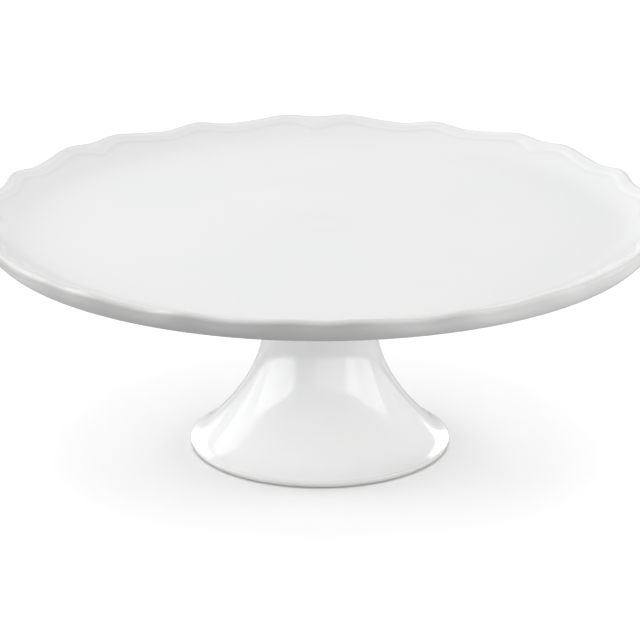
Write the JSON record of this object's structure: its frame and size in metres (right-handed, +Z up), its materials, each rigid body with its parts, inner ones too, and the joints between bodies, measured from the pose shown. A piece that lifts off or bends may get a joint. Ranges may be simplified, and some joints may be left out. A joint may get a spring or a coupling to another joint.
{
  "type": "cake stand",
  "caption": "Footed round cake stand in white glazed porcelain: a shallow plate with a scalloped, banded rim on a hollow flared pedestal.",
  "frame": {"origin": "centre of the foot, on the plane that the stand rests on", "axes": "+Z up along the stand's axis; +X, +Y and their opposites each point midway between a pair of twin scallops"},
  "size_m": [0.3038, 0.3038, 0.1105],
  "materials": {
    "plate_glaze": "glossy clear glaze over white porcelain",
    "pedestal_glaze": "glossy clear glaze over white porcelain, with a bare ring under the foot",
    "joint_glaze": "porcelain slip under the same glossy clear glaze"
  },
  "bodies": {
    "root": {"plate": "plate_glaze", "pedestal": "pedestal_glaze", "joining_slip": "joint_glaze"}
  },
  "joints": []
}
